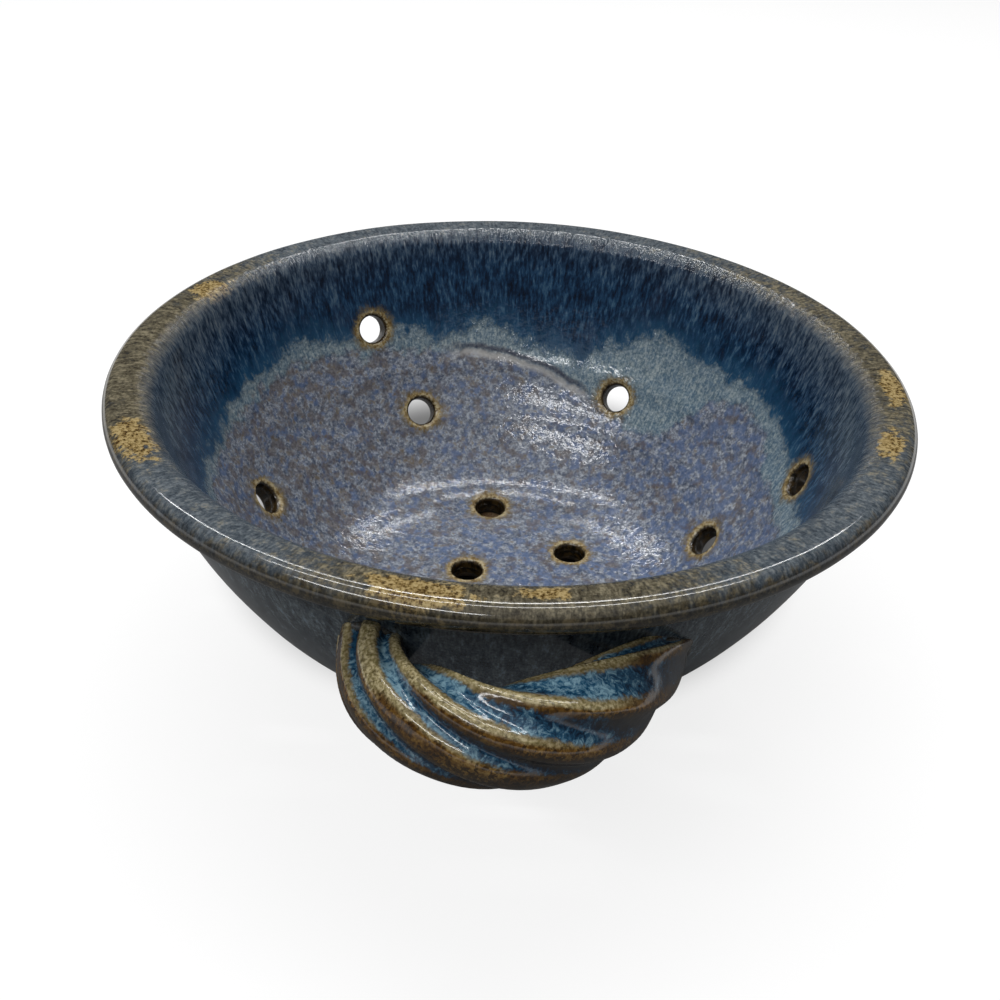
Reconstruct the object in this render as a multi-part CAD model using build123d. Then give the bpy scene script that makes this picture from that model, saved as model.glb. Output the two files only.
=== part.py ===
from build123d import *

import os
from math import asin, cos, degrees, hypot, pi, radians, sin, sqrt

# A stoneware berry bowl: a thrown bowl with a rolled rim and drain holes, a foot ring,
# and one fluted, twisted handle that is luted on under the rim.
# Millimetres. The origin is the middle of the resting face, +Z is up and the handle is at -Y.

# Rim
rim_radius = 100.0  # outermost edge of the rolled rim
rim_height = 83.5  # top of the rim above the table
rim_thickness = 7.0  # height of the rolled edge
rim_overhang = 7.2  # how far the rim stands out past the top of the wall
rim_cove = 5.0  # hollow under the rim, where it meets the wall
rim_shoulder = 5.0  # rounding of the rim's inner edge

# Wall and floor
wall_thickness = 6.0
wall_bow = 130.0  # radius of the wall's outer curve, in section
heel_radius = 48.2  # where the outer curve ends at the underside
floor_height = 12.5  # top of the floor above the table
floor_thickness = 6.5
floor_sweep = 30.0  # radius of the curve from the floor up into the wall

# Foot ring
foot_step = 1.8  # how far the foot stands out past the heel
foot_width = 6.0
foot_lap = 6.0  # how far the ring runs up round the heel before it is trimmed
foot_rounding = 1.5  # rounding of the two edges that meet the table

# Drain holes
hole_diameter = 8.4
hole_chamfer = 1.2  # worn edge at both mouths
# Each hole is a run along the inside from the middle of the floor, and a bearing from +X.
hole_places = [
    (11.5, 152),
    (25.5, 39),
    (30.0, 205),
    (34.0, 268),
    (37.0, 330),
    (38.0, 97),
    (61.5, 10),
    (64.0, 318),
    (66.0, 225),
    (70.0, 275),
    (74.0, 115),
    (75.0, 175),
    (82.0, 62),
    (96.0, 0),
    (102.0, 123),
]
seam_bearing = 190.0  # where the turned bowl's seam lies, clear of every hole

# Handle
handle_left = 26.5  # from the middle of the handle to its left end, along the wall
handle_right = 34.1  # the same to its right end, which is drawn out further
handle_drop = 19.1  # from the rim's underside down to the middle of both ends
handle_rise = 4.6  # how much higher the middle of the handle is than its ends
handle_thickness = 19.4  # across the handle at its middle, away from the bowl
handle_depth = 22.8  # across the handle at its middle, upright
finger_gap = 11.0  # clear space between the handle's middle and the wall
left_shoulder = 21.6  # from the middle of the handle to the bend before its left end
right_shoulder = 23.8
shoulder_share = 0.52  # how far out and up the bends are, against the middle
right_lean = 0.64  # sideways run of the right end for each step in towards the wall
root_clearance = 1.2  # how far both ends run in past the wall behind their lowest point, before trimming
left_thickness_share = 0.715  # thickness of the left end against the middle
left_depth_share = 1.1  # upright depth of the left end against the middle
right_share = 0.36  # size of the right end against the middle, both ways
flute_count = 7
flute_depth = 2.6  # depth of a flute at the handle's left end
flute_fade = 0.7  # share of that depth which is gone at the right end
twist_degrees = 324.0  # turn of the flutes along the handle, before it slackens
twist_slack = 0.07  # how much the twist slackens towards the right end
twist_start = 80.7  # bearing of one ridge in the left end's section
handle_sections = 15

# Luting coils
coil_width = 1.3  # how far the coil stands out from the handle's end
coil_height = 1.7  # how far it stands out from the wall
coil_share = 0.25  # share of the handle's line that a coil's blank covers, past the slanting seam
coil_sections = 5

# Sizes that follow from those above
roll_radius = rim_thickness / 2
rim_underside = rim_height - rim_thickness
underside = floor_height - floor_thickness
wall_top_radius = rim_radius - rim_overhang
inner_bow = wall_bow - wall_thickness
foot_outer_radius = heel_radius + foot_step
foot_inner_radius = foot_outer_radius - foot_width
hole_radius = hole_diameter / 2
mouth_flare = 2 * hole_chamfer  # how far the opened-out mouths of the drill run on past the clay
handle_height = rim_underside - handle_drop

# Middle of the wall's curve: both faces of the wall are arcs about this point.
chord_r = wall_top_radius - heel_radius
chord_z = rim_underside - underside
chord = hypot(chord_r, chord_z)
bow_depth = sqrt(wall_bow**2 - chord**2 / 4)
bow_r = (wall_top_radius + heel_radius) / 2 - bow_depth * chord_z / chord
bow_z = (rim_underside + underside) / 2 + bow_depth * chord_r / chord

# The floor is flat to this radius, and then sweeps up into the wall.
sweep_z = floor_height + floor_sweep
sweep_reach = inner_bow - floor_sweep
flat_radius = bow_r + sqrt(sweep_reach**2 - (bow_z - sweep_z) ** 2)
sweep_angle = asin((flat_radius - bow_r) / sweep_reach)
flat_to_wall = flat_radius + floor_sweep * sweep_angle


def bow_radius_at(height, bow):
    """Distance from the axis to a face of the wall at a height."""
    return bow_r + sqrt(bow**2 - (bow_z - height) ** 2)


def bow_arc(bow, start_height, end_height):
    """A face of the wall, in section, from one height to another."""
    heights = [start_height, (start_height + end_height) / 2, end_height]
    return ThreePointArc(*[(bow_radius_at(height, bow), height) for height in heights])


def rim_round(bow, level, radius):
    """Arc from a level of the rim down to a face of the wall, and the height where it lands."""
    middle_z = level - radius
    middle_r = bow_r + sqrt((bow + radius) ** 2 - (bow_z - middle_z) ** 2)
    landing = bow_z + (middle_z - bow_z) * bow / (bow + radius)
    start = (middle_r, level)
    return TangentArc(start, (bow_radius_at(landing, bow), landing), tangent=(-1, 0)), landing


def inside_at(run):
    """Radius, height and slope of the inside, a run away from the middle of the floor."""
    if run <= flat_radius:
        return run, floor_height, 0.0
    if run <= flat_to_wall:
        slope = (run - flat_radius) / floor_sweep
        return flat_radius + floor_sweep * sin(slope), sweep_z - floor_sweep * cos(slope), slope
    slope = sweep_angle + (run - flat_to_wall) / inner_bow
    return bow_r + inner_bow * sin(slope), bow_z - inner_bow * cos(slope), slope


def clay_behind(radius, height, slope):
    """Thickness of the clay behind a point of the inside, square to the surface there."""
    out_r = sin(slope)
    out_z = -cos(slope)
    along = (radius - bow_r) * out_r + (height - bow_z) * out_z
    beyond = (radius - bow_r) ** 2 + (height - bow_z) ** 2 - wall_bow**2
    to_wall = sqrt(along**2 - beyond) - along
    to_underside = (height - underside) / cos(slope)
    return min(to_wall, to_underside)


def turned(outline):
    """Solid of revolution about Z from edges drawn with X as the radius and Y as the height."""
    return revolve(Plane.XZ * make_face(outline), Axis.Z)


def bowl_outline():
    """Half section of the bowl, from the middle of the underside round to the floor."""
    edge_middle = rim_radius - roll_radius
    cove, cove_foot = rim_round(wall_bow, rim_underside, rim_cove)
    shoulder, shoulder_foot = rim_round(inner_bow, rim_height, rim_shoulder)
    sweep_top = bow_z - inner_bow * cos(sweep_angle)
    return [
        Line((0, underside), (heel_radius, underside)),
        bow_arc(wall_bow, underside, cove_foot),
        cove,
        Line(cove @ 0, (edge_middle, rim_underside)),
        ThreePointArc(
            (edge_middle, rim_underside),
            (rim_radius, rim_underside + roll_radius),
            (edge_middle, rim_height),
        ),
        Line((edge_middle, rim_height), shoulder @ 0),
        shoulder,
        bow_arc(inner_bow, shoulder_foot, sweep_top),
        TangentArc(
            (flat_radius, floor_height),
            (bow_radius_at(sweep_top, inner_bow), sweep_top),
            tangent=(1, 0),
        ),
        Line((flat_radius, floor_height), (0, floor_height)),
        Line((0, floor_height), (0, underside)),
    ]


def outer_blank(growth):
    """The bowl's outside up to the rim, filled in, with its wall moved out by a growth."""
    bow = wall_bow + growth
    top = bow_radius_at(rim_underside, bow)
    low = bow_radius_at(underside, bow)
    return turned(
        [
            Line((0, underside), (low, underside)),
            bow_arc(bow, underside, rim_underside),
            Line((top, rim_underside), (0, rim_underside)),
            Line((0, rim_underside), (0, underside)),
        ]
    )


def hole_cutter(run, bearing):
    """Drill for one drain hole, square to the inside, with both mouths opened out."""
    radius, height, slope = inside_at(run)
    clay = clay_behind(radius, height, slope)
    flare_radius = hole_radius + hole_chamfer + mouth_flare
    drill = turned(
        [
            Polyline(
                (0, mouth_flare),
                (flare_radius, mouth_flare),
                (hole_radius, -hole_chamfer),
                (hole_radius, hole_chamfer - clay),
                (flare_radius, -mouth_flare - clay),
                (0, -mouth_flare - clay),
                close=True,
            )
        ]
    )
    return Rot(Z=bearing) * Pos(radius, 0, height) * Rot(Y=-degrees(slope)) * drill


def make_bowl():
    blank = Rot(Z=seam_bearing) * turned(bowl_outline())
    return blank - [hole_cutter(run, bearing) for run, bearing in hole_places]


def make_foot():
    """Ring under the floor, trimmed to the bowl's underside and heel."""
    top = underside + foot_lap
    ring = turned(
        [
            Polyline(
                (foot_inner_radius, 0),
                (foot_outer_radius, 0),
                (foot_outer_radius, top),
                (foot_inner_radius, top),
                close=True,
            )
        ]
    )
    resting_edges = ring.edges().group_by(Axis.Z)[0]
    return fillet(resting_edges, foot_rounding) - bowl_blank


def handle_line():
    """Line through the middle of the handle, from behind the wall's face at each end."""
    middle_height = handle_height + handle_rise
    bend_height = handle_height + shoulder_share * handle_rise
    wall_out = bow_radius_at(handle_height, wall_bow)
    root_bottom = handle_height - left_depth_share * handle_depth / 2 - coil_width
    root_embed = wall_out - bow_radius_at(root_bottom, wall_bow) + root_clearance
    left_out = sqrt(wall_out**2 - handle_left**2)
    right_out = sqrt(wall_out**2 - handle_right**2)
    middle_out = bow_radius_at(middle_height, wall_bow) + finger_gap + handle_thickness / 2
    left_bend = left_out + shoulder_share * (middle_out - left_out)
    right_bend = right_out + shoulder_share * (middle_out - right_out)
    return Spline(
        (-handle_left, root_embed - left_out, handle_height),
        (-left_shoulder, -left_bend, bend_height),
        (0, -middle_out, middle_height),
        (right_shoulder, -right_bend, bend_height),
        (handle_right + right_lean * root_embed, root_embed - right_out, handle_height),
        tangents=[(0, -1, 0), (right_lean, 1, 0)],
    )


def section_plane(share):
    """Plane across the handle at a share of its line, X pointing away from the bowl and Y up."""
    tangent = line % share
    outward = tangent.cross(Vector(0, 0, 1))
    return Plane(origin=line @ share, x_dir=outward, z_dir=-tangent)


def half_sizes(share, growth):
    """Half the thickness and half the depth of the handle at a share of its line."""
    fullness = sin(pi * share)
    halves = []
    for size, left_share in (
        (handle_thickness, left_thickness_share),
        (handle_depth, left_depth_share),
    ):
        plain = left_share + (right_share - left_share) * share
        halves.append(size / 2 * (plain + (1 - plain) * fullness) + growth)
    return halves


def fluted_section(share):
    """Outline of ridges on an oval with a hollow flute between each two."""
    half_thickness, half_depth = half_sizes(share, 0)
    inset = flute_depth * (1 - flute_fade * share)
    turn = twist_start - twist_degrees * (share - twist_slack * share**3)
    pitch = 360 / flute_count

    def on_oval(angle, sunk):
        across = (half_thickness - sunk) * cos(radians(angle))
        return across, (half_depth - sunk) * sin(radians(angle))

    def along_oval(angle):
        return -half_thickness * sin(radians(angle)), half_depth * cos(radians(angle))

    flutes = []
    for index in range(flute_count):
        ridge = turn + index * pitch
        flutes.append(
            Spline(
                on_oval(ridge, 0),
                on_oval(ridge + pitch / 2, inset),
                on_oval(ridge + pitch, 0),
                tangents=[along_oval(ridge), along_oval(ridge + pitch)],
            )
        )
    return make_face(flutes)


def make_handle():
    """Loft through the fluted sections, trimmed to the wall's face."""
    shares = [index / (handle_sections - 1) for index in range(handle_sections)]
    blank = loft([section_plane(share) * fluted_section(share) for share in shares])
    return blank - bowl_blank


def make_coil(from_right):
    """Bead of clay in the seam round one end of the handle."""
    sections = []
    for index in range(coil_sections):
        share = coil_share * index / (coil_sections - 1)
        if from_right:
            share = 1 - share
        sections.append(section_plane(share) * Ellipse(*half_sizes(share, coil_width)))
    return loft(sections) & outer_blank(coil_height) - bowl_blank - handle


bowl_blank = outer_blank(0)
line = handle_line()
handle = make_handle()
nodes = {
    "bowl_body": make_bowl(),
    "foot_ring": make_foot(),
    "twisted_handle": handle,
    "left_luting_coil": make_coil(from_right=False),
    "right_luting_coil": make_coil(from_right=True),
}

os.makedirs("parts", exist_ok=True)
for name, shape in nodes.items():
    export_step(shape, f"parts/{name}.step")
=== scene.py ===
import math

import bpy
import numpy as np
from mathutils import Matrix, Vector


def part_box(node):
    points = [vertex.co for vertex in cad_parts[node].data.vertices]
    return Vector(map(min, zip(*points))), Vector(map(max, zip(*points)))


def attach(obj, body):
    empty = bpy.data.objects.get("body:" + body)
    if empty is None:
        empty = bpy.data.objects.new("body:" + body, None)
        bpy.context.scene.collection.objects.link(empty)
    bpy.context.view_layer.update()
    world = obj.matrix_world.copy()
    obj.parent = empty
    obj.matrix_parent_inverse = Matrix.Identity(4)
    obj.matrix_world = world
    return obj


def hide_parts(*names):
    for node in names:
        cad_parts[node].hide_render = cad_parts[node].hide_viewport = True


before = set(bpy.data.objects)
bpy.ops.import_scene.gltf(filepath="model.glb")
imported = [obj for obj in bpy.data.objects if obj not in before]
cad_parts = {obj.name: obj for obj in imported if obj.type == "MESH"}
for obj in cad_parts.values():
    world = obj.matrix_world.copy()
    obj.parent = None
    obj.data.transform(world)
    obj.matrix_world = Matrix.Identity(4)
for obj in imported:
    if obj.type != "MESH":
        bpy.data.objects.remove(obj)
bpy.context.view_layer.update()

# A thrown and glazed berry bowl with drain holes and one twisted handle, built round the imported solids.
# Sizes are in millimetres and turned into metres where a mesh is made. The handle is at -Y.

MM = 0.001

bowl_low, bowl_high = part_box("bowl_body")
foot_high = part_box("foot_ring")[1]

# Bowl
rim_radius = bowl_high[0] / MM
rim_height = bowl_high[2] / MM
underside = bowl_low[2] / MM
rim_thickness = 7.0
rim_overhang = 7.2
rim_cove = 5.0
crown_bow = 36.0  # radius of the rim's slightly domed top
crown_lean = 7.0  # degrees that it leans inwards at its inner edge
wall_thickness = 6.0
wall_bow = 130.0
heel_radius = 48.2
floor_height = 12.5
floor_sweep = 30.0
turn_steps = 300  # faces round the bowl
fine_step = 1.0  # longest step along the section of the inside and rim
plain_step = 2.5  # longest step along the rest of the section
# Radius and height of each throwing ring
ring_places = ((64.0, 0.35), (73.5, 0.45), (45.0, 0.25), (84.0, 0.2))
ring_width = 1.6
wobble_size = 45.0  # length of the unevenness that a hand leaves
wobble_depth = 0.4

# Foot ring
foot_outer_radius = foot_high[0] / MM
foot_width = 6.0
foot_rounding = 1.5
foot_bite = 1.4  # how far the ring's top goes up into the bowl
foot_bevel_in = 2.0  # the hidden bevel on the ring's outside: its width,
foot_bevel_low = 0.3  # how far below the top it starts
foot_bevel_high = 1.0  # and how far above it ends
foot_steps = 180  # faces round the ring
round_step = 0.4  # longest step round its edges

# Drain holes: run along the inside from the middle of the floor, and bearing from +X
hole_radius = 4.2
mouth_round = 1.4  # rounding of each mouth
mouth_turn = 60.0  # degrees of that rounding
mouth_flare = 5.0  # how far the mouth's cone runs on past the clay
drill_steps = 48  # faces round a drill
far_from_hole = 50.0  # gap given where no hole is near
hole_places = (
    (11.5, 152),
    (25.5, 39),
    (30.0, 205),
    (34.0, 268),
    (37.0, 330),
    (38.0, 97),
    (61.5, 10),
    (64.0, 318),
    (66.0, 225),
    (70.0, 275),
    (74.0, 115),
    (75.0, 175),
    (82.0, 62),
    (96.0, 0),
    (102.0, 123),
)

# Handle
handle_left = 26.5  # from the bowl's middle to each end, sideways
handle_right = 34.1
handle_drop = 19.1  # from the rim's underside to the ends
handle_rise = 4.6  # from the ends to the middle
handle_thickness = 19.4
handle_depth = 22.8
finger_gap = 11.0
left_shoulder = 21.6  # from the bowl's middle to each bend, sideways
right_shoulder = 23.8
shoulder_share = 0.52  # how far the bends stand out and up
right_lean = 0.64  # how far the right end leans outwards as it goes into the wall
root_embed = 9.1
left_thickness_share = 0.715  # sizes at the ends, as shares of those in the middle
left_depth_share = 1.1
right_share = 0.36
flute_depth = 2.7
flute_fade = 0.7  # share of that depth lost at the right end
twist_degrees = 324.0
twist_slack = 0.07  # share of the twist lost towards the right end
twist_start = 80.7
ridge_wear = 0.15  # how far even the ridges lie inside the plain oval
# Each ridge's bearing from the turn of the section, and the fullness and narrowness of the flute after it,
# where a narrowness above 1 leaves a narrow flute between broad ridges
ridge_bearings = (-12, 58, 110, 158, 234, 270, 308)
flute_fullness = (1.0, 0.8, 1.1, 1.1, 0.95, 0.85, 1.0)
flute_narrowness = (3.2, 2.2, 0.65, 0.7, 1.2, 1.3, 1.6)
handle_rings = 150
ring_points = 112
root_sink = 3.0  # how deep the handle's trimmed ends reach into the wall
coil_radius = 1.2
coil_inset = 2.0  # how far the bead lies in behind the ridges
coil_points = 56

# Studio
floor_grey = (0.24, 0.24, 0.24, 1)
floor_lift = 0.82  # added to the floor for the camera, which makes it white
unlifted_middle = (0, 50, 0)  # the lift fades out round this point, which leaves a darker disc of floor under and behind the bowl as a painted shadow, so that the drain holes look dark
unlifted_reach = (68, 98)
mirrored_reach = (250, 500)  # reflections show the lift only this far out
air_grey = (0.1, 0.1, 0.1, 1)
air_shown = (0.88, 0.88, 0.88, 1)  # to the camera alone
camera_place = (0, -265.1, 220.5)
camera_target = (-1.124, -57.771, 80.0)
camera_roll = 2.559
camera_lens = 42.245

# Sizes that follow
roll_radius = rim_thickness / 2
rim_underside = rim_height - rim_thickness
wall_top_radius = rim_radius - rim_overhang
inner_bow = wall_bow - wall_thickness
handle_height = rim_underside - handle_drop
foot_inner_radius = foot_outer_radius - foot_width
chord_r = wall_top_radius - heel_radius
chord_z = rim_underside - underside
chord = math.hypot(chord_r, chord_z)
bow_depth = math.sqrt(wall_bow**2 - chord**2 / 4)
bow_r = (wall_top_radius + heel_radius) / 2 - bow_depth * chord_z / chord
bow_z = (rim_underside + underside) / 2 + bow_depth * chord_r / chord
sweep_z = floor_height + floor_sweep
sweep_reach = inner_bow - floor_sweep
flat_radius = bow_r + math.sqrt(sweep_reach**2 - (bow_z - sweep_z) ** 2)
sweep_angle = math.asin((flat_radius - bow_r) / sweep_reach)
flat_to_wall = flat_radius + floor_sweep * sweep_angle


# Hand work on meshes

def pick_only(piece):
    """Leaves one piece selected and active."""
    bpy.ops.object.select_all(action="DESELECT")
    piece.select_set(True)
    bpy.context.view_layer.objects.active = piece


def start_line(name, point):
    """A new piece with one vertex, at a radius and height, left in edit mode."""
    bpy.ops.object.select_all(action="DESELECT")
    bpy.ops.mesh.primitive_plane_add(size=MM, location=(point[0] * MM, 0, point[1] * MM))
    piece = bpy.context.object
    piece.name = name
    piece.data.name = name
    bpy.ops.object.transform_apply(location=True, rotation=True, scale=True)
    bpy.ops.object.mode_set(mode="EDIT")
    bpy.ops.mesh.select_mode(type="VERT")
    bpy.ops.mesh.select_all(action="SELECT")
    bpy.ops.mesh.merge(type="CENTER")
    return piece


def turn_piece(name, outline, steps, closed=False):
    """Draws a section of radii and heights by extruding a vertex, and spins it about Z."""
    piece = start_line(name, outline[0])
    for before, after in zip(outline, outline[1:]):
        step = ((after[0] - before[0]) * MM, 0, (after[1] - before[1]) * MM)
        bpy.ops.mesh.extrude_region_move(TRANSFORM_OT_translate={"value": step})
    bpy.ops.mesh.select_all(action="SELECT")
    if closed:
        bpy.ops.mesh.select_all(action="DESELECT")
        bpy.ops.object.mode_set(mode="OBJECT")
        piece.data.vertices[0].select = True
        piece.data.vertices[len(outline) - 1].select = True
        bpy.ops.object.mode_set(mode="EDIT")
        bpy.ops.mesh.edge_face_add()
        bpy.ops.mesh.select_all(action="SELECT")
    bpy.ops.mesh.spin(steps=steps, angle=2 * math.pi, center=(0, 0, 0), axis=(0, 0, 1))
    tidy_mesh()
    bpy.ops.object.mode_set(mode="OBJECT")
    return piece


def tidy_mesh():
    """Merges doubles and turns every face outwards, in edit mode."""
    bpy.ops.mesh.select_all(action="SELECT")
    bpy.ops.mesh.remove_doubles(threshold=0.01 * MM)
    bpy.ops.mesh.normals_make_consistent(inside=False)


def apply_modifier(piece, kind, settings):
    """Adds one modifier to a piece and applies it."""
    pick_only(piece)
    modifier = piece.modifiers.new(kind.lower(), kind)
    for setting, value in settings.items():
        setattr(modifier, setting, value)
    bpy.ops.object.modifier_apply(modifier=modifier.name)


def cut_away(piece, tool):
    """Cuts a tool out of a piece and takes the tool away."""
    apply_modifier(piece, "BOOLEAN", {"operation": "DIFFERENCE", "solver": "EXACT", "object": tool})
    bpy.data.objects.remove(tool)


def smooth(piece, degrees):
    pick_only(piece)
    bpy.ops.object.shade_smooth_by_angle(angle=math.radians(degrees))


def vertex_places(piece):
    """Every vertex of a piece, in millimetres."""
    flat = np.empty(len(piece.data.vertices) * 3)
    piece.data.vertices.foreach_get("co", flat)
    return flat.reshape(-1, 3) / MM


def mark(piece, name, values):
    """Keeps a number for every vertex, for the glaze to read."""
    layer = piece.data.attributes.new(name, "FLOAT", "POINT")
    layer.data.foreach_set("value", np.asarray(values, dtype=np.float32))


# Bowl

def bow_radius_at(height, bow):
    return bow_r + math.sqrt(bow**2 - (bow_z - height) ** 2)


def inside_at(run):
    """Radius, height and slope of the inside, a run away from the middle of the floor."""
    if run <= flat_radius:
        return run, floor_height, 0.0
    if run <= flat_to_wall:
        slope = (run - flat_radius) / floor_sweep
        return flat_radius + floor_sweep * math.sin(slope), sweep_z - floor_sweep * math.cos(slope), slope
    slope = sweep_angle + (run - flat_to_wall) / inner_bow
    return bow_r + inner_bow * math.sin(slope), bow_z - inner_bow * math.cos(slope), slope


def clay_behind(radius, height, slope):
    """Thickness of the clay behind a point of the inside, square to the surface there."""
    out_r = math.sin(slope)
    out_z = -math.cos(slope)
    along = (radius - bow_r) * out_r + (height - bow_z) * out_z
    beyond = (radius - bow_r) ** 2 + (height - bow_z) ** 2 - wall_bow**2
    to_wall = math.sqrt(along**2 - beyond) - along
    return min(to_wall, (height - underside) / math.cos(slope))


def line_points(start, end, step):
    count = max(1, round(math.dist(start, end) / step))
    return [(start[0] + (end[0] - start[0]) * i / count, start[1] + (end[1] - start[1]) * i / count)
            for i in range(1, count + 1)]


def arc_points(middle, radius, start, end, step):
    """Points of an arc after its first one, with bearings in radians from the radius direction."""
    count = max(2, round(abs(end - start) * radius / step))
    bearings = [start + (end - start) * i / count for i in range(1, count + 1)]
    return [(middle[0] + radius * math.cos(b), middle[1] + radius * math.sin(b)) for b in bearings]


def cove_turn():
    """Middle of the round under the rim, and its bearing where it meets the outside."""
    middle_z = rim_underside - rim_cove
    middle_r = bow_r + math.sqrt((wall_bow + rim_cove) ** 2 - (bow_z - middle_z) ** 2)
    return (middle_r, middle_z), math.atan2(bow_z - middle_z, bow_r - middle_r)


def shoulder_turn(edge, lean):
    """Middle and radius of the round from the wall's inside up to the crown's edge, which leans inwards."""
    small, large = 0.5, 20.0
    for halving in range(50):
        radius = (small + large) / 2
        middle = (edge[0] + radius * math.sin(lean), edge[1] - radius * math.cos(lean))
        if math.hypot(middle[0] - bow_r, middle[1] - bow_z) > inner_bow + radius:
            small = radius
        else:
            large = radius
    return middle, radius


def bowl_section():
    """Section of the bowl from the middle of the floor, over the rim, to the middle of the underside.

    Also gives the run, from the floor's middle, at which each stretch of it ends.
    """
    edge_middle = rim_radius - roll_radius
    lean = math.radians(crown_lean)
    crown_middle = (edge_middle, rim_height - crown_bow)
    crown_edge = (edge_middle - crown_bow * math.sin(lean), crown_middle[1] + crown_bow * math.cos(lean))
    shoulder_middle, shoulder_radius = shoulder_turn(crown_edge, lean)
    shoulder_start = math.atan2(bow_z - shoulder_middle[1], bow_r - shoulder_middle[0])
    cove_middle, cove_end = cove_turn()
    bow_middle = (bow_r, bow_z)
    up = math.pi / 2
    stretches = {
        "floor": line_points((0, floor_height), (flat_radius, floor_height), fine_step),
        "sweep": arc_points((flat_radius, sweep_z), floor_sweep, -up, sweep_angle - up, fine_step),
        "wall": arc_points(bow_middle, inner_bow, sweep_angle - up, shoulder_start - math.pi, fine_step),
        "shoulder": arc_points(
            shoulder_middle, shoulder_radius, shoulder_start, up + lean, fine_step * 0.6
        ),
        "crown": arc_points(crown_middle, crown_bow, up + lean, up, fine_step),
        "roll": arc_points((edge_middle, rim_height - roll_radius), roll_radius, up, -up, fine_step * 0.8),
        "lip": line_points((edge_middle, rim_underside), (cove_middle[0], rim_underside), fine_step),
        "cove": arc_points(cove_middle, rim_cove, up, cove_end, fine_step),
        "outside": arc_points(
            bow_middle,
            wall_bow,
            cove_end - math.pi,
            math.atan2(underside - bow_z, heel_radius - bow_r),
            plain_step,
        ),
        "underside": line_points((heel_radius, underside), (0, underside), plain_step),
    }
    outline = [(0.0, floor_height)]
    ends = {}
    run = 0.0
    for stretch, points in stretches.items():
        for point in points:
            run += math.dist(outline[-1], point)
            outline.append(point)
        ends[stretch] = run
    return outline, ends


def with_throwing_rings(outline):
    """The section with low rings left on the inside by the fingers."""
    ringed = []
    for radius, height in outline:
        inside = math.hypot(radius - bow_r, height - bow_z) < inner_bow + 0.5 and height > floor_height + 1
        lift = 0.0
        if inside:
            for place, rise in ring_places:
                lift += rise * math.exp(-(((radius - place) / ring_width) ** 2))
        slope = math.atan2(radius - bow_r, bow_z - height)
        ringed.append((radius - lift * math.sin(slope), height + lift * math.cos(slope)))
    return ringed


def hole_matrix(run, bearing):
    radius, height, slope = inside_at(run)
    place = Matrix.Translation(Vector((radius, 0, height)) * MM)
    return Matrix.Rotation(math.radians(bearing), 4, "Z") @ place @ Matrix.Rotation(-slope, 4, "Y")


def drill_section(clay):
    """Half section of one drill, with both mouths rounded out, from above the clay to below it."""
    turn = math.radians(mouth_turn)
    middle_r = hole_radius + mouth_round
    top = arc_points((middle_r, -mouth_round), mouth_round, math.pi - turn, math.pi, 0.3)
    lip = (middle_r + mouth_round * math.cos(math.pi - turn), -mouth_round + mouth_round * math.sin(turn))
    flare = (lip[0] + mouth_flare * math.sin(turn), lip[1] + mouth_flare * math.cos(turn))
    upper = [(0.0, flare[1]), flare, lip] + top
    lower = [(radius, -clay - height) for radius, height in reversed(upper)]
    return upper + lower


def make_drills():
    """One drill for each hole, joined into one tool."""
    drills = []
    for run, bearing in hole_places:
        drill = turn_piece("drill", drill_section(clay_behind(*inside_at(run))), drill_steps)
        drill.matrix_world = hole_matrix(run, bearing)
        pick_only(drill)
        bpy.ops.object.transform_apply(location=True, rotation=True, scale=True)
        drills.append(drill)
    pick_only(drills[0])
    for drill in drills:
        drill.select_set(True)
    bpy.ops.object.join()
    return bpy.context.object


def make_bowl():
    outline, ends = bowl_section()
    bowl = turn_piece("thrown_bowl", with_throwing_rings(outline), turn_steps)
    wobble = bpy.data.textures.new("hand_wobble", "CLOUDS")
    wobble.noise_scale = wobble_size * MM
    apply_modifier(
        bowl,
        "DISPLACE",
        {
            "texture": wobble,
            "texture_coords": "LOCAL",
            "strength": -wobble_depth * MM,
            "mid_level": 0.0,
        },
    )
    cut_away(bowl, make_drills())
    mark_bowl(bowl, np.array(outline))
    smooth(bowl, 25)
    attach(bowl, "root")
    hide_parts("bowl_body")
    bowl.data.materials.clear()
    bowl.data.materials.append(bowl_glaze(ends))


# Where the glazes lie: bearing from +X, and run along the inside where the dark glaze ends
drip_line = (
    (0, 92), (11, 96), (18, 100), (27, 103), (36, 101), (45, 101), (55, 105), (64, 99), (73, 91),
    (80, 91.5), (87, 94), (95, 99.5), (102, 98), (109, 95), (116, 100), (127, 99.5), (133, 101),
    (141, 104.5), (151, 101.5), (160, 101), (171, 98), (180, 97), (210, 98), (240, 92), (270, 97),
    (300, 93), (330, 96),
)
# Bearing, and run where the pale glaze below that ends
pale_line = (
    (0, 84), (13, 87), (18, 93.5), (30, 95.5), (38, 90), (44, 78), (52, 71.5), (60, 76), (70, 80),
    (79, 84.5), (90, 89), (99, 91), (107, 91), (119, 93.5), (128, 93.5), (136, 98), (145, 98),
    (155, 96), (166, 95), (181, 94), (210, 90), (240, 84), (270, 90), (300, 86), (330, 84),
)
# Bearing, and how much of a thick ledge the pale glaze ends in there; the ledge also gets a painted
# highlight along the pale glaze's lower edge and a painted shadow line just above it
ledge_line = ((66, 0), (74, 1), (100, 1), (108, 0))
# Ochre patches on the rim: bearing, half width in degrees, radius and half width in millimetres
ochre_patches = (
    (260.5, 6.5, 95.5, 4.5),
    (275, 4, 93.4, 2.2),
    (209, 6.5, 94.5, 4.2),
    (157.5, 4, 91.5, 5.0),
    (357, 6, 95.0, 2.8),
    (340, 4.5, 93.5, 3.0),
)
# Bearing, and how olive rather than slate the rim is there
olive_line = (
    (0, 0.85), (20, 0.7), (40, 0.55), (60, 0.25), (100, 0.15), (135, 0.2), (150, 0.6), (165, 0.8),
    (185, 0.9), (205, 0.8), (220, 0.2), (240, 0.25), (255, 0.8), (275, 1.0), (290, 0.7), (302, 0.3),
    (325, 0.2), (345, 0.6),
)


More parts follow.
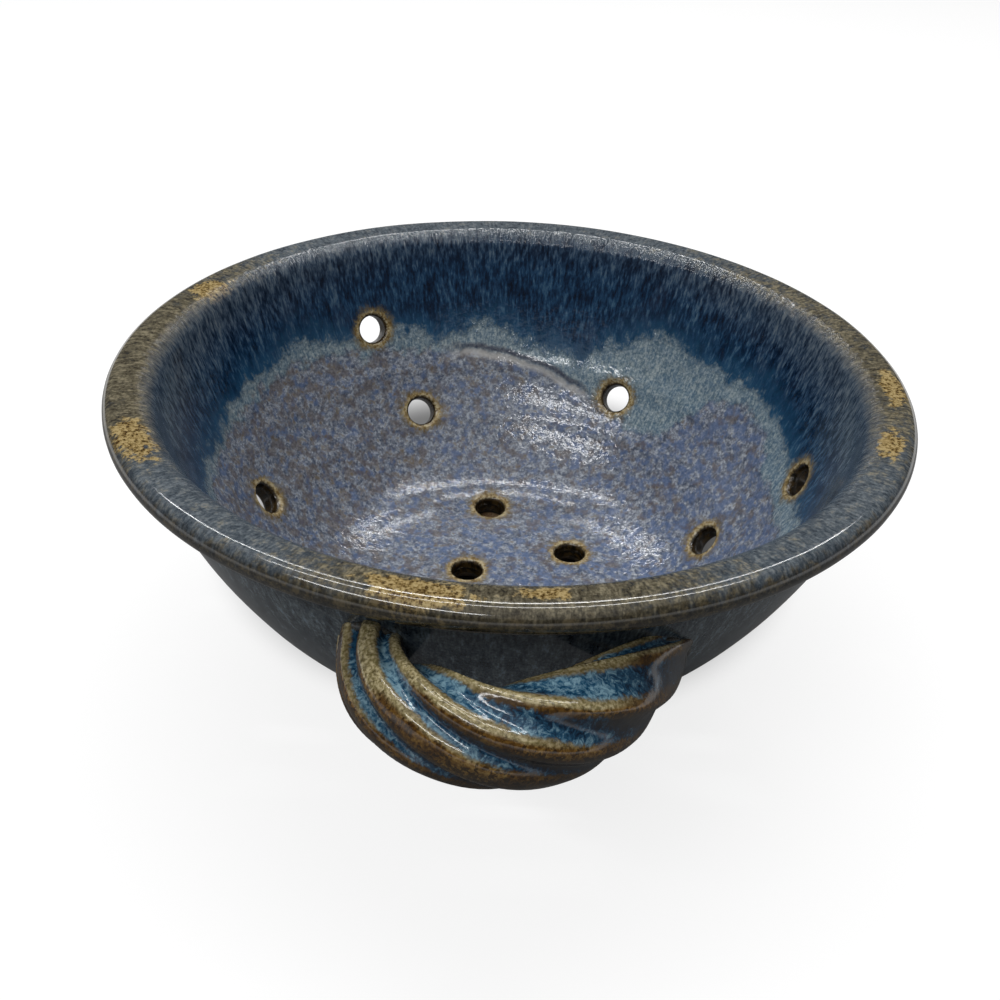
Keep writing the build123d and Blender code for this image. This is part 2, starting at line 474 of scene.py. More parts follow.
def round_the_bowl(table, bearings):
    """A value for each bearing, between the entries of a table that goes right round."""
    return np.interp(bearings, [entry[0] for entry in table], [entry[1] for entry in table], period=360)


def nearest_run(radii, heights, outline):
    """Run along a section of the point of it that is nearest to each radius and height."""
    starts = outline[:-1]
    steps = outline[1:] - starts
    lengths = np.hypot(steps[:, 0], steps[:, 1])
    before = np.concatenate([[0], np.cumsum(lengths)[:-1]])
    runs = np.empty(len(radii))
    batch = 5000
    for first in range(0, len(radii), batch):
        part = slice(first, first + batch)
        to_r = radii[part, None] - starts[None, :, 0]
        to_z = heights[part, None] - starts[None, :, 1]
        share = np.clip((to_r * steps[:, 0] + to_z * steps[:, 1]) / lengths**2, 0, 1)
        gap = np.hypot(to_r - share * steps[:, 0], to_z - share * steps[:, 1])
        best = gap.argmin(axis=1)
        rows = np.arange(len(best))
        runs[part] = before[best] + share[rows, best] * lengths[best]
    return runs


def hole_gaps(places):
    """Distance from each place to the edge of the nearest drain hole."""
    gaps = np.full(len(places), far_from_hole)
    for run, bearing in hole_places:
        turn = hole_matrix(run, bearing)
        middle = np.array(turn.translation) / MM
        axis = np.array(turn.col[2][:3])
        away = places - middle
        along = away @ axis
        across = np.linalg.norm(away - along[:, None] * axis, axis=1) - hole_radius
        across[np.abs(along) > 2 * wall_thickness] = far_from_hole
        gaps = np.minimum(gaps, across)
    return gaps


def mark_bowl(bowl, outline):
    """Marks each vertex with its run, its hole gap and its place in the glazes."""
    places = vertex_places(bowl)
    radii = np.hypot(places[:, 0], places[:, 1])
    bearings = np.degrees(np.arctan2(places[:, 1], places[:, 0])) % 360
    runs = nearest_run(radii, places[:, 2], outline)
    drip = runs - round_the_bowl(drip_line, bearings)
    ochre = np.zeros(len(places))
    for bearing, half_turn, radius, half_width in ochre_patches:
        turn = (bearings - bearing + 180) % 360 - 180
        away = np.hypot(turn / half_turn, (radii - radius) / half_width)
        ochre = np.maximum(ochre, 1 - 0.5 * away)
    ochre[places[:, 2] < rim_underside] = 0
    mark(bowl, "run", runs)
    mark(bowl, "hole_gap", hole_gaps(places))
    mark(bowl, "drip_gap", drip)
    mark(bowl, "pale_gap", runs - round_the_bowl(pale_line, bearings))
    mark(bowl, "ledge", round_the_bowl(ledge_line, bearings))
    mark(bowl, "ochre", ochre)
    mark(bowl, "olive", round_the_bowl(olive_line, bearings))


# Foot ring

def make_foot():
    top = underside + foot_bite
    right = math.pi / 2
    low = foot_rounding
    outline = [(foot_inner_radius, top)]
    outline += line_points(outline[-1], (foot_inner_radius, low), plain_step)
    outline += arc_points((foot_inner_radius + low, low), low, math.pi, 3 * right, round_step)
    outline += line_points(outline[-1], (foot_outer_radius - low, 0), fine_step)
    outline += arc_points((foot_outer_radius - low, low), low, -right, 0, round_step)
    outline += line_points(outline[-1], (foot_outer_radius, top - foot_bevel_low), fine_step)
    bevel_end = (foot_outer_radius - foot_bevel_in, top + foot_bevel_high)
    outline += line_points(outline[-1], bevel_end, fine_step)
    foot = turn_piece("turned_foot", outline, foot_steps, closed=True)
    smooth(foot, 40)
    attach(foot, "root")
    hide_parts("foot_ring")
    foot.data.materials.append(bare_clay())


# Handle

def handle_knots():
    """Points that the handle's line goes through."""
    middle_height = handle_height + handle_rise
    bend_height = handle_height + shoulder_share * handle_rise
    wall_out = bow_radius_at(handle_height, wall_bow)
    left_out = math.sqrt(wall_out**2 - handle_left**2)
    right_out = math.sqrt(wall_out**2 - handle_right**2)
    middle_out = bow_radius_at(middle_height, wall_bow) + finger_gap + handle_thickness / 2
    left_bend = left_out + shoulder_share * (middle_out - left_out)
    right_bend = right_out + shoulder_share * (middle_out - right_out)
    return np.array([
        (-handle_left, root_embed - left_out, handle_height),
        (-left_shoulder, -left_bend, bend_height),
        (0, -middle_out, middle_height),
        (right_shoulder, -right_bend, bend_height),
        (handle_right + right_lean * root_embed, root_embed - right_out, handle_height),
    ])


def end_pace(times, knots, tangent):
    """A tangent at the first knot, as long as the pace of a cubic through the first four."""
    cubic = np.polyfit(times[:4] - times[0], knots[:4], 3)
    tangent = np.array(tangent, dtype=float)
    return tangent / np.linalg.norm(tangent) * np.linalg.norm(cubic[2])


class HandleLine:
    """Smooth line through the middle of the handle, by share of its length between knots."""

    def __init__(self):
        self.knots = handle_knots()
        gaps = np.linalg.norm(np.diff(self.knots, axis=0), axis=1)
        self.times = np.concatenate([[0], np.cumsum(gaps)]) / gaps.sum()
        first = end_pace(self.times, self.knots, (0, -1, 0))
        last = -end_pace(1 - self.times[::-1], self.knots[::-1], (-right_lean, -1, 0))
        count = len(self.knots)
        rows = np.zeros((count, count))
        wanted = np.zeros((count, 3))
        rows[0, 0] = rows[-1, -1] = 1
        wanted[0], wanted[-1] = first, last
        steps = np.diff(self.times)
        for i in range(1, count - 1):
            before, after = steps[i - 1], steps[i]
            rows[i, i - 1 : i + 2] = after, 2 * (before + after), before
            wanted[i] = 3 * (
                after / before * (self.knots[i] - self.knots[i - 1])
                + before / after * (self.knots[i + 1] - self.knots[i])
            )
        self.paces = np.linalg.solve(rows, wanted)

    def at(self, share):
        """Place and unit tangent at a share."""
        i = min(int(np.searchsorted(self.times, share, side="right")) - 1, len(self.knots) - 2)
        step = self.times[i + 1] - self.times[i]
        t = (share - self.times[i]) / step
        start, end = self.knots[i], self.knots[i + 1]
        leave, arrive = self.paces[i] * step, self.paces[i + 1] * step
        place = (
            (2 * t**3 - 3 * t**2 + 1) * start
            + (t**3 - 2 * t**2 + t) * leave
            + (3 * t**2 - 2 * t**3) * end
            + (t**3 - t**2) * arrive
        )
        pace = 6 * (t**2 - t) * (start - end) + (3 * t**2 - 4 * t + 1) * leave + (3 * t**2 - 2 * t) * arrive
        return place, pace / np.linalg.norm(pace)


def half_sizes(share):
    """Half the thickness and half the depth of the handle at a share of its line."""
    fullness = math.sin(math.pi * share)
    halves = []
    for size, left_share in ((handle_thickness, left_thickness_share), (handle_depth, left_depth_share)):
        plain = left_share + (right_share - left_share) * share
        halves.append(size / 2 * (plain + (1 - plain) * fullness))
    return halves


def plain_ring(line, share, bearings, sunk):
    """Places round one section of the handle, sunk below the oval that its ridges lie on."""
    half_thickness, half_depth = half_sizes(share)
    place, tangent = line.at(share)
    outward = np.cross(tangent, (0, 0, 1))
    outward /= np.linalg.norm(outward)
    upward = np.cross(outward, tangent)
    turned = np.radians(bearings)
    across = (half_thickness - sunk) * np.cos(turned)
    up = (half_depth - sunk) * np.sin(turned)
    return place + across[:, None] * outward + up[:, None] * upward


def fluted_ring(line, share, bearings):
    """Places round one section of the handle, and how deep in a flute each lies, from 0 to 1."""
    depth = flute_depth * (1 - flute_fade * share)
    turn = twist_start - twist_degrees * (share - twist_slack * share**3)
    ridges = np.array(ridge_bearings + (ridge_bearings[0] + 360,))
    phase = np.interp((bearings - turn - ridges[0]) % 360 + ridges[0], ridges, np.arange(len(ridges)))
    groove = (1 - np.cos(2 * np.pi * phase)) / 2
    flute = np.floor(phase).astype(int) % len(ridge_bearings)
    groove = groove ** np.array(flute_narrowness)[flute]
    sunk = ridge_wear + depth * np.array(flute_fullness)[flute] * groove
    return plain_ring(line, share, bearings, sunk), groove


def make_handle(line):
    """Fluted rings along the handle's line, bridged, and trimmed to lie just inside the wall."""
    bearings = np.arange(ring_points) * 360 / ring_points
    places, grooves, shares = [], [], []
    for index in range(handle_rings):
        share = index / (handle_rings - 1)
        ring, groove = fluted_ring(line, share, bearings)
        places.append(ring)
        grooves.append(groove)
        shares.append(np.full(ring_points, share))
    faces = []
    for index in range(handle_rings - 1):
        for point in range(ring_points):
            following = (point + 1) % ring_points
            low = index * ring_points
            high = low + ring_points
            faces.append((low + point, low + following, high + following, high + point))
    faces.append(tuple(range(ring_points - 1, -1, -1)))
    faces.append(tuple(range((handle_rings - 1) * ring_points, handle_rings * ring_points)))
    mesh = bpy.data.meshes.new("twisted_handle_clay")
    mesh.from_pydata((np.concatenate(places) * MM).tolist(), [], faces)
    handle = bpy.data.objects.new("twisted_handle_clay", mesh)
    bpy.context.collection.objects.link(handle)
    mark(handle, "groove", np.concatenate(grooves))
    mark(handle, "share", np.concatenate(shares))
    pick_only(handle)
    bpy.ops.object.mode_set(mode="EDIT")
    tidy_mesh()
    bpy.ops.object.mode_set(mode="OBJECT")
    cut_away(handle, make_root_trim())
    facing = np.empty(len(handle.data.vertices) * 3)
    handle.data.vertices.foreach_get("normal", facing)
    mark(handle, "up", facing[2::3])
    smooth(handle, 50)
    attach(handle, "root")
    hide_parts("twisted_handle")
    handle.data.materials.append(handle_glaze())


def make_root_trim():
    """The inside of the bowl up to the middle of its wall, as a tool."""
    bow = wall_bow - root_sink
    low = bow_radius_at(underside, bow)
    top = bow_radius_at(rim_underside, bow)
    outline = [(0.0, underside)] + line_points((0, underside), (low, underside), 20)
    outline += arc_points(
        (bow_r, bow_z),
        bow,
        math.atan2(underside - bow_z, low - bow_r),
        math.atan2(rim_underside - bow_z, top - bow_r),
        plain_step,
    )
    outline += line_points(outline[-1], (0, rim_underside), 20)
    return turn_piece("root_trim", outline, 180)


def make_coil(line, name, node, shares):
    """Bead of clay pressed into the seam between one end of the handle and the wall."""
    places = []
    for index in range(coil_points):
        bearing = np.array([index * 360 / coil_points])
        near, far = shares
        for halving in range(30):
            middle = (near + far) / 2
            point = plain_ring(line, middle, bearing, coil_inset)[0]
            if math.hypot(point[0], point[1]) > bow_radius_at(point[2], wall_bow):
                far = middle
            else:
                near = middle
        places.append(point)
    curve = bpy.data.curves.new(name, "CURVE")
    curve.dimensions = "3D"
    curve.bevel_depth = coil_radius * MM
    curve.bevel_resolution = 3
    bead = curve.splines.new("POLY")
    bead.points.add(coil_points - 1)
    for point, place in zip(bead.points, places):
        point.co = (*(place * MM), 1)
    bead.use_cyclic_u = True
    coil = bpy.data.objects.new(name, curve)
    bpy.context.collection.objects.link(coil)
    pick_only(coil)
    bpy.ops.object.convert(target="MESH")
    coil = bpy.context.object
    smooth(coil, 60)
    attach(coil, "root")
    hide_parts(node)
    coil.data.materials.append(seam_glaze_and_shade())


# Glazes

class Wire:
    """One output of a node, which can be used in sums."""

    def __init__(self, sheet, socket):
        self.sheet = sheet
        self.socket = socket

    def __add__(self, other):
        return self.sheet.sum("ADD", self, other)

    def __radd__(self, other):
        return self.sheet.sum("ADD", other, self)

    def __sub__(self, other):
        return self.sheet.sum("SUBTRACT", self, other)

    def __rsub__(self, other):
        return self.sheet.sum("SUBTRACT", other, self)

    def __mul__(self, other):
        return self.sheet.sum("MULTIPLY", self, other)

    def __rmul__(self, other):
        return self.sheet.sum("MULTIPLY", other, self)

    def __truediv__(self, other):
        return self.sheet.sum("DIVIDE", self, other)

    def __rtruediv__(self, other):
        return self.sheet.sum("DIVIDE", other, self)


def tone(red, green, blue):
    """A colour as seen on a screen, from 0 to 255, turned into light."""
    parts = []
    for part in (red, green, blue):
        part /= 255
        parts.append(part / 12.92 if part <= 0.04045 else ((part + 0.055) / 1.055) ** 2.4)
    return (*parts, 1.0)


class GlazeSheet:
    """One material, or the studio's air, and the nodes that it is mixed from."""

    def __init__(self, name, air=None):
        self.material = air or bpy.data.materials.new(name)
        self.material.use_nodes = True
        self.tree = self.material.node_tree
        self.tree.nodes.clear()

    def node(self, kind, settings, sockets, output=0):
        """Adds a node: its settings first, then the values or wires of its sockets."""
        node = self.tree.nodes.new(kind)
        for setting, value in settings.items():
            if setting == "stops":
                self.set_stops(node.color_ramp, value)
            else:
                setattr(node, setting, value)
        for socket, value in sockets.items():
            if isinstance(value, Wire):
                self.tree.links.new(value.socket, node.inputs[socket])
            else:
                node.inputs[socket].default_value = value
        return Wire(self, node.outputs[output])

    def set_stops(self, ramp, stops):
        while len(ramp.elements) < len(stops):
            ramp.elements.new(0.5)
        for element, (place, colour) in zip(ramp.elements, stops):
            element.position = place
            element.color = colour

    def sum(self, operation, first, second):
        return self.node("ShaderNodeMath", {"operation": operation}, {0: first, 1: second})

    def mark(self, name):
        return self.node("ShaderNodeAttribute", {"attribute_name": name}, {}, "Fac")

    def place(self):
        """The place on the piece, in millimetres."""
        coordinates = self.node("ShaderNodeTexCoord", {}, {}, "Object")
        return self.node("ShaderNodeVectorMath", {"operation": "SCALE"}, {0: coordinates, "Scale": 1 / MM})

    def part(self, vector, axis):
        return self.node("ShaderNodeSeparateXYZ", {}, {0: vector}, axis)

    def vector(self, x, y, z):
        return self.node("ShaderNodeCombineXYZ", {}, {0: x, 1: y, 2: z})

    def noise(self, vector, size, seed, detail=2.0, roughness=0.5, distortion=0.0):
        """Noise from 0 to 1 with features of a size, in the vector's units."""
        sockets = {
            "Vector": vector,
            "W": float(seed),
            "Scale": 1 / size,
            "Detail": detail,
            "Roughness": roughness,
            "Distortion": distortion,
        }
        return self.node("ShaderNodeTexNoise", {"noise_dimensions": "4D"}, sockets, "Fac")

    def step(self, value, low, high):
        """A soft step from 0 at low to 1 at high."""
        sockets = {"Value": value, "From Min": low, "From Max": high}
        return self.node("ShaderNodeMapRange", {"interpolation_type": "SMOOTHSTEP"}, sockets)

    def ramp(self, value, stops):
        return self.node("ShaderNodeValToRGB", {"stops": stops}, {0: value})

    def mix(self, share, first, second):
        """Two colours, the second by a share."""
        sockets = {0: share, 6: first, 7: second}
        return self.node("ShaderNodeMix", {"data_type": "RGBA"}, sockets, 2)

    def streaks(self, place, run, across, along, seed, detail=3.0, roughness=0.6):
        """Noise drawn out along the section of the bowl, as glaze runs."""
        x = self.part(place, 0)
        y = self.part(place, 1)
        radius = self.node("ShaderNodeMath", {"operation": "SQRT"}, {0: x * x + y * y})
        turned = self.vector(x / radius * (90 / across), y / radius * (90 / across), run / along)
        return self.noise(turned, 1.0, seed, detail, roughness)

    def finish(self, colour, roughness, bump, bump_depth):
        """The surface itself, with a fine bump of a depth in millimetres."""
        pressed = {"Strength": 1.0, "Distance": bump_depth * MM, "Height": bump}
        normal = self.node("ShaderNodeBump", {}, pressed)
        sockets = {
            "Base Color": colour,
            "Roughness": roughness,
            "Normal": normal,
            "IOR": 1.5,
        }
        surface = self.node("ShaderNodeBsdfPrincipled", {}, sockets)
        self.close(surface)
        return self.material

    def close(self, surface, kind="ShaderNodeOutputMaterial"):
        output = self.tree.nodes.new(kind)
        self.tree.links.new(surface.socket, output.inputs["Surface"])


def bowl_glaze(ends):
    """Dark streaked glaze over a mottled one, a grey rim with ochre patches, and a bare underside."""
    sheet = GlazeSheet("thrown_bowl_glaze")
    place = sheet.place()
    x = sheet.part(place, 0)
    y = sheet.part(place, 1)
    run = sheet.mark("run")
    grain = sheet.noise(place, 0.7, 1, 2.0, 0.6)
    speck = sheet.noise(place, 1.6, 2, 2.0, 0.5)
    blotch = sheet.noise(place, 2.3, 3, 2.0, 0.55)
    blob = sheet.noise(place, 7.0, 8, 3.0, 0.6)
    cloud = sheet.noise(place, 20, 4, 3.0, 0.6)
    hair = sheet.streaks(place, run, 0.9, 3.2, 5, 3.0, 0.65)
    veil = sheet.streaks(place, run, 3.5, 9.0, 6, 3.0, 0.6)

    inside = floor_tone(sheet, place, x, y, grain, speck, blotch, cloud)
    lumps = (blob - 0.5) * 14 + (blotch - 0.5) * 6
    ledge = sheet.mark("ledge")
    pale_gap = sheet.mark("pale_gap") + lumps * (1 - ledge * 0.8)
    pale = sheet.step(pale_gap, -0.5, 2.5)
    pale_tone = sheet.ramp(
        hair * 0.5 + grain * 0.5,
        [(0.40, tone(78, 104, 122)), (0.5, tone(114, 134, 143)), (0.6, tone(160, 172, 172))],
    )
    inside = sheet.mix(pale * 0.8, inside, pale_tone)
    # Painted highlight: a light line along the ledge at the pale glaze's lower edge
    painted_ledge_highlight = sheet.step(pale_gap, -2.2, -0.2) * sheet.step(pale_gap, 1.6, 0.2) * ledge
    inside = sheet.mix(painted_ledge_highlight * 0.7, inside, tone(184, 182, 178))
    # Painted shadow: a dark line just above that highlight
    painted_ledge_shadow = sheet.step(pale_gap, 0.8, 1.8) * sheet.step(pale_gap, 3.6, 2.2) * ledge
    inside = sheet.mix(painted_ledge_shadow * 0.7, inside, tone(58, 52, 66))
    drip = sheet.mark("drip_gap") + lumps + (hair - 0.5) * 9
    dark = dark_tone(sheet, y, run, drip, hair, veil, cloud, ends)
    inside = sheet.mix(sheet.step(drip, -1.0, 2.5), inside, dark)

    rim = rim_tone(sheet, place, run, hair, grain, blotch, ends)
    rim_share = sheet.step(run + (hair - 0.5) * 8, ends["wall"] + 0.5, ends["shoulder"] - 0.5)
    colour = sheet.mix(rim_share, inside, rim)

    outer = sheet.ramp(
        hair * 0.4 + veil * 0.35 + grain * 0.25,
        [
            (0.40, tone(34, 44, 53)),
            (0.47, tone(62, 73, 83)),
            (0.53, tone(88, 98, 103)),
            (0.60, tone(116, 132, 146)),
        ],
    )
    outer_share = sheet.step(run, ends["lip"] - 1, ends["cove"])
    colour = sheet.mix(outer_share, colour, outer)

    hole = sheet.mark("hole_gap")
    stain = sheet.step(hole + (blotch - 0.5) * 5 + (grain - 0.5) * 3, 4.2, 1.6)
    colour = sheet.mix(stain * 0.65, colour, tone(108, 94, 62))
    halo = sheet.step(hole + (blotch - 0.5) * 2 + (grain - 0.5) * 4, 2.6, 1.2)
    halo_tone = sheet.ramp(
        grain * 0.6 + speck * 0.4,
        [(0.40, tone(104, 82, 44)), (0.5, tone(152, 131, 86)), (0.6, tone(196, 182, 144))],
    )
    colour = sheet.mix(halo * 0.9, colour, halo_tone)

    bare = sheet.step(run + (blotch - 0.5) * 3, ends["outside"] - 2.5, ends["outside"] - 1.5)
    colour = sheet.mix(bare, colour, clay_tone(sheet, grain, speck, cloud))
    bore = sheet.step(hole + (grain - 0.5) * 0.6, 1.0, 0.2)
    bore_tone = sheet.ramp(speck, [(0.4, tone(20, 15, 7)), (0.6, tone(58, 44, 22))])
    colour = sheet.mix(bore, colour, bore_tone)

    roughness = 0.06 + grain * 0.08 + halo * 0.1
    roughness = roughness * (1 - bare) + bare * 0.75
    low = sheet.step(run, ends["wall"], ends["wall"] - 20)
    thick = (sheet.step(drip, -1.5, 1.5) * 0.9 + pale * (0.9 + ledge)) * (1 - rim_share)
    relief = (blotch * 1.6 + speck * 0.5 + grain * 0.3) * (0.02 + low * 0.7) + thick
    return sheet.finish(colour, roughness, relief, 0.2)


def floor_tone(sheet, place, x, y, grain, speck, blotch, cloud):
    """Lavender grey with soft blue and brown blotches and ochre specks."""
    fleck = sheet.noise(place, 2.8, 9, 2.0, 0.55)
    light = sheet.ramp(
        grain * 0.55 + speck * 0.45,
        [(0.39, tone(74, 82, 98)), (0.5, tone(118, 124, 135)), (0.61, tone(168, 174, 182))],
    )
    blue = sheet.step(blotch + (cloud - 0.5) * 0.2 + (x - y) * 0.0007, 0.42, 0.62)
    colour = sheet.mix(blue * 0.7, light, tone(80, 100, 138))
    brown = sheet.step(fleck + (0.5 - cloud) * 0.25 - x * 0.0007, 0.48, 0.66)
    colour = sheet.mix(brown * 0.65, colour, tone(96, 86, 80))
    dots = sheet.step(speck + (grain - 0.5) * 0.3 - x * 0.0005, 0.61, 0.69)
    return sheet.mix(dots * 0.6, colour, tone(100, 84, 56))


def dark_tone(sheet, y, run, drip, hair, veil, cloud, ends):
    """Deep blue glaze in fine hairs, lighter at its lower edge and greyer up towards the rim."""
    dark = sheet.ramp(
        hair * 0.6 + veil * 0.4,
        [
            (0.37, tone(4, 18, 37)),
            (0.46, tone(11, 36, 62)),
            (0.54, tone(31, 65, 96)),
            (0.64, tone(70, 102, 126)),
        ],
    )
    warm = sheet.step(cloud + (veil - 0.5) * 0.7, 0.54, 0.68)
    dark = sheet.mix(warm * 0.25, dark, tone(46, 48, 64))
    fringe = sheet.step(drip + (hair - 0.5) * 20, 8, 0)
    dark = sheet.mix(fringe * 0.6, dark, tone(34, 79, 110))
    rising = sheet.step(
        run + (hair - 0.5) * 26 + (veil - 0.5) * 24 - y * 0.17, ends["wall"] - 22, ends["wall"] + 2
    )
    greyer = sheet.ramp(
        hair, [(0.38, tone(48, 60, 74)), (0.5, tone(82, 94, 106)), (0.62, tone(116, 125, 132))]
    )
    return sheet.mix(rising * 0.85, dark, greyer)


def rim_tone(sheet, place, run, hair, grain, blotch, ends):
    """Slate and olive rim with fine streaks, ochre patches and a brown lower edge."""
    fine = sheet.streaks(place, run, 0.7, 2.4, 7, 3.0, 0.6)
    streak = fine * 0.4 + grain * 0.35 + blotch * 0.25
    slate = sheet.ramp(
        streak, [(0.40, tone(52, 60, 68)), (0.5, tone(83, 91, 98)), (0.60, tone(116, 123, 128))]
    )
    olive = sheet.ramp(
        streak, [(0.40, tone(46, 41, 29)), (0.5, tone(88, 82, 66)), (0.60, tone(134, 126, 104))]
    )
    olive_share = sheet.mark("olive") + (blotch - 0.5) * 1.0 + (grain - 0.5) * 0.8
    colour = sheet.mix(sheet.step(olive_share, 0.2, 0.8), slate, olive)
    ochre_share = sheet.mark("ochre") + (grain - 0.5) * 0.4 + (blotch - 0.5) * 0.9
    ochre = sheet.ramp(
        grain, [(0.38, tone(66, 46, 17)), (0.47, tone(132, 110, 65)), (0.6, tone(174, 154, 108))]
    )
    colour = sheet.mix(sheet.step(ochre_share, 0.46, 0.62), colour, ochre)
    outward = run + (hair - 0.5) * 5 + (blotch - 0.5) * 6
    edge = sheet.step(outward, ends["crown"] + 1.5, ends["crown"] + 5)
    edge_tone = sheet.ramp(
        grain * 0.5 + blotch * 0.5,
        [(0.40, tone(24, 20, 12)), (0.5, tone(46, 41, 30)), (0.60, tone(78, 68, 48))],
    )
    return sheet.mix(edge * 0.85, colour, edge_tone)


def clay_tone(sheet, grain, speck, cloud):
    """Bare toasted stoneware with iron specks."""
    clay = sheet.ramp(
        cloud * 0.6 + grain * 0.4,
        [(0.40, tone(140, 104, 74)), (0.5, tone(166, 134, 101)), (0.6, tone(190, 162, 128))],
    )
    return sheet.mix(sheet.step(speck, 0.63, 0.7), clay, tone(74, 48, 32))


def bare_clay():
    sheet = GlazeSheet("foot_bare_clay")
    place = sheet.place()
    grain = sheet.noise(place, 0.5, 11, 3.0, 0.6)
    speck = sheet.noise(place, 1.0, 12)
    cloud = sheet.noise(place, 12, 13, 3.0, 0.6)
    height = sheet.part(place, 2)
    glaze = sheet.ramp(
        cloud * 0.5 + grain * 0.5,
        [(0.40, tone(36, 40, 40)), (0.5, tone(62, 66, 62)), (0.6, tone(88, 94, 94))],
    )
    flat = sheet.vector(sheet.part(place, 0), sheet.part(place, 1), 0.0)
    outward = sheet.node("ShaderNodeVectorMath", {"operation": "LENGTH"}, {0: flat}, "Value")
    glazed = sheet.step(height + (cloud - 0.5) * 5, 4.2, 5.0)
    glazed = glazed * sheet.step(outward, foot_outer_radius - 1.5, foot_outer_radius - 0.8)
    colour = sheet.mix(glazed, clay_tone(sheet, grain, speck, cloud), glaze)
    return sheet.finish(colour, 0.78 - glazed * 0.62, grain, 0.12)


def handle_glaze():
    """Tan and brown ridges with dark specks, blue glaze pooled in the flutes, and painted shade on the
    parts that face down.
    """
    sheet = GlazeSheet("twisted_handle_glaze")
    place = sheet.place()
    groove = sheet.mark("groove")
    share = sheet.mark("share")
    grain = sheet.noise(place, 0.7, 21, 3.0, 0.6)
    speck = sheet.noise(place, 0.9, 22, 2.0, 0.5)
    cloud = sheet.noise(place, 9, 23, 3.0, 0.6)
    feather = sheet.noise(place, 1.8, 24, 5.0, 0.68, 1.4)
    up = sheet.mark("up")

    ridge = sheet.ramp(
        grain * 0.45 + cloud * 0.55,
        [
            (0.40, tone(50, 29, 4)),
            (0.48, tone(92, 63, 20)),
            (0.55, tone(124, 92, 38)),
            (0.63, tone(154, 126, 72)),
        ],
    )
    cream = sheet.ramp(
        grain, [(0.38, tone(108, 98, 64)), (0.5, tone(148, 136, 98)), (0.62, tone(188, 176, 140))]
    )
    creamy = sheet.step(up + (cloud - 0.5) - share * 0.4, 0.3, 0.6)
    ridge = sheet.mix(creamy, ridge, cream)
    dots = sheet.step(speck + (cloud - 0.5) * 0.4 - up * 0.06, 0.50, 0.59)
    ridge = sheet.mix(dots * (0.85 - creamy * 0.4), ridge, tone(44, 28, 7))
    rust = sheet.step(groove + (grain - 0.5) * 0.5, 0.1, 0.4)
    ridge = sheet.mix(rust * 0.45, ridge, tone(66, 47, 18))
    paler = (up - 0.2) * 0.14 - (share - 0.4) * 0.1 - sheet.step(share, 0.3, 0.05) * 0.1
    pool = sheet.ramp(
        feather * 0.7 + cloud * 0.3 + paler,
        [
            (0.40, tone(4, 16, 32)),
            (0.48, tone(11, 38, 61)),
            (0.56, tone(34, 75, 102)),
            (0.67, tone(118, 150, 164)),
        ],
    )
    pooled = sheet.step(groove + (feather - 0.5) * 0.7 + (cloud - 0.5) * 0.8, 0.34, 0.66)
    colour = sheet.mix(pooled, ridge, pool)
    # Painted shade: the parts that face down are darkened
    under = sheet.step(up + (cloud - 0.5) * 0.6, 0.5, -0.3)
    painted_shade_tone = sheet.ramp(grain, [(0.40, tone(20, 16, 10)), (0.6, tone(46, 37, 22))])
    colour = sheet.mix(under * 0.78, colour, painted_shade_tone)
    return sheet.finish(colour, 0.06 + grain * 0.1, grain * 0.05 + feather * 0.12 + cloud * 2, 0.15)


def seam_glaze_and_shade():
    sheet = GlazeSheet("luting_seam_glaze")
    place = sheet.place()
    grain = sheet.noise(place, 0.7, 31, 3.0, 0.6)
    cloud = sheet.noise(place, 6, 32, 3.0, 0.6)
    # Dark olive glaze, darker than the handle's own, partly painted shade in the seam
    colour = sheet.ramp(
        grain * 0.5 + cloud * 0.5,
        [(0.40, tone(28, 24, 16)), (0.5, tone(46, 43, 34)), (0.6, tone(60, 66, 70))],
    )
    return sheet.finish(colour, 0.2 + grain * 0.1, grain, 0.1)


# Studio

def make_floor():
    bpy.ops.object.select_all(action="DESELECT")
    bpy.ops.mesh.primitive_plane_add(size=12)
    floor = bpy.context.object
    floor.name = "studio_floor"
    sheet = GlazeSheet("studio_white")
    rays = sheet.node("ShaderNodeLightPath", {}, {}, "Is Camera Ray")
    glossy = sheet.node("ShaderNodeLightPath", {}, {}, "Is Glossy Ray")
    through = sheet.node("ShaderNodeLightPath", {}, {}, "Is Transmission Ray")
    matt = sheet.node("ShaderNodeBsdfDiffuse", {}, {"Color": floor_grey})
    place = sheet.place()
    between = {0: place, 1: unlifted_middle}
    from_back = sheet.node("ShaderNodeVectorMath", {"operation": "DISTANCE"}, between, "Value")
    from_axis = sheet.node("ShaderNodeVectorMath", {"operation": "LENGTH"}, {0: place}, "Value")
    mirrored = (glossy + through) * sheet.step(from_axis, *mirrored_reach)
    # The camera's lift is left off round the unlifted middle: a painted shadow under and behind the bowl
    shown = rays * sheet.step(from_back, *unlifted_reach) + mirrored
    glow = sheet.mix(shown, (0, 0, 0, 1), (1, 1, 1, 1))
    lift = sheet.node("ShaderNodeEmission", {}, {"Color": glow, "Strength": floor_lift})
    sheet.close(sheet.node("ShaderNodeAddShader", {}, {0: matt, 1: lift}))
    floor.data.materials.append(sheet.material)


def aim(lamp, target):
    lamp.rotation_euler = (Vector(target) - lamp.location).to_track_quat("-Z", "Y").to_euler()


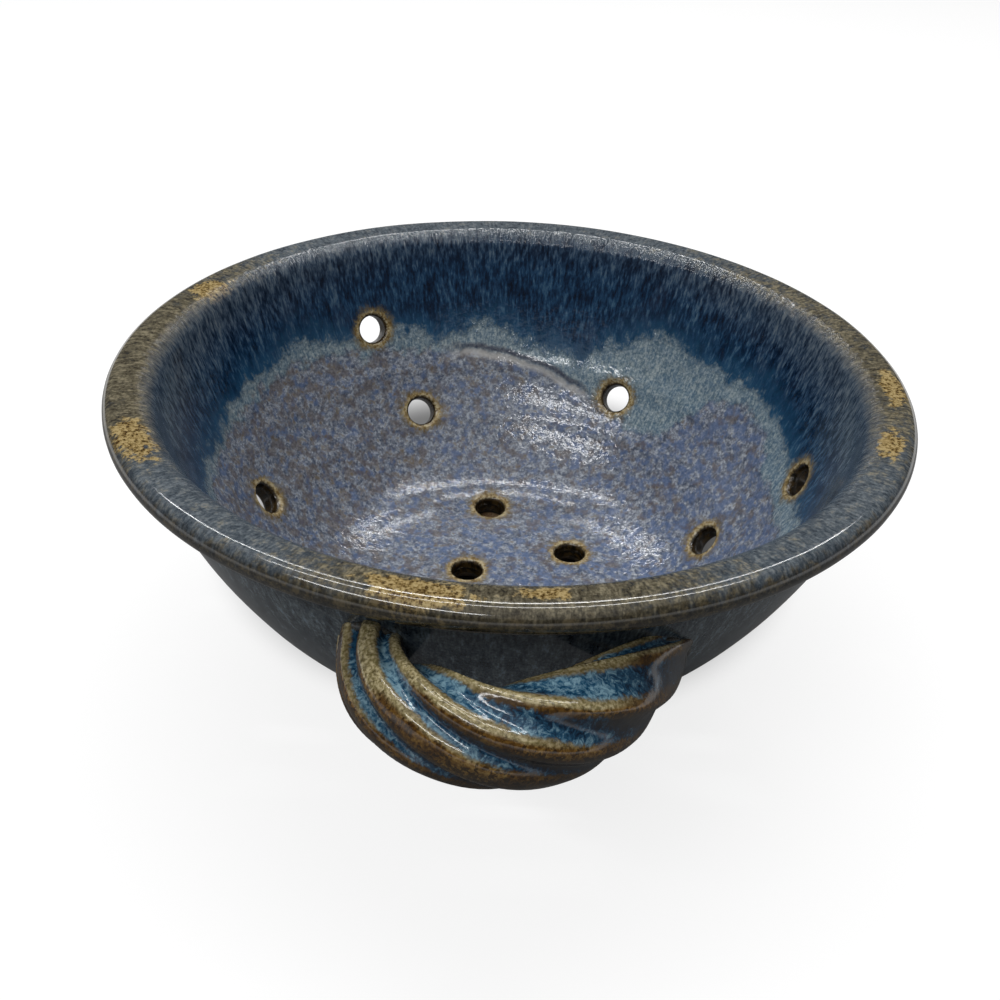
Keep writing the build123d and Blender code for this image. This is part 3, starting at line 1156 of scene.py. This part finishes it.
def add_lamp(name, place, size, watts, target=(0, 0, 0.05)):
    light = bpy.data.lights.new(name, "AREA")
    light.shape = "RECTANGLE"
    light.size, light.size_y = size
    light.energy = watts
    lamp = bpy.data.objects.new(name, light)
    lamp.location = place
    bpy.context.collection.objects.link(lamp)
    aim(lamp, target)


def light_the_studio():
    world = bpy.data.worlds.new("studio_air")
    bpy.context.scene.world = world
    sheet = GlazeSheet("studio_air", world)
    rays = sheet.node("ShaderNodeLightPath", {}, {}, "Is Camera Ray")
    air = sheet.mix(rays, air_grey, air_shown)
    sheet.close(sheet.node("ShaderNodeBackground", {}, {"Color": air}), "ShaderNodeOutputWorld")
    add_lamp("back_strip", (0.0, 0.74, 0.9), (1.3, 0.03), 4.0)
    add_lamp("top_strip", (0.0, 0.24, 1.15), (1.3, 0.03), 5.0)
    add_lamp("front_strip", (-0.5, -0.8, 1.05), (1.0, 0.08), 5.5)
    add_lamp("front_window", (-0.1, -1.5, 1.5), (2.4, 1.4), 4)
    add_lamp("overhead_window", (0.0, 0.0, 1.7), (2.4, 2.0), 8)


def place_camera():
    """The photograph's own viewpoint, with its slight roll."""
    view = bpy.data.cameras.new("photo_view")
    view.lens = camera_lens
    view.sensor_width = 36.0
    view.clip_start = 0.01
    camera = bpy.data.objects.new("photo_view", view)
    bpy.context.collection.objects.link(camera)
    place = Vector(camera_place) * MM
    target = Vector(camera_target) * MM
    roll = math.radians(camera_roll)
    ahead = (target - place).normalized()
    level = ahead.cross(Vector((0, 0, 1))).normalized()
    upright = level.cross(ahead)
    right = math.cos(roll) * level + math.sin(roll) * upright
    up = math.cos(roll) * upright - math.sin(roll) * level
    turn = Matrix((right, up, -ahead)).transposed().to_4x4()
    camera.matrix_world = Matrix.Translation(place) @ turn
    bpy.context.scene.camera = camera


make_bowl()
make_foot()
handle_line = HandleLine()
make_handle(handle_line)
make_coil(handle_line, "left_seam_coil", "left_luting_coil", (0.0, 0.3))
make_coil(handle_line, "right_seam_coil", "right_luting_coil", (1.0, 0.7))
make_floor()
light_the_studio()
place_camera()
bpy.context.scene.view_settings.view_transform = "Standard"
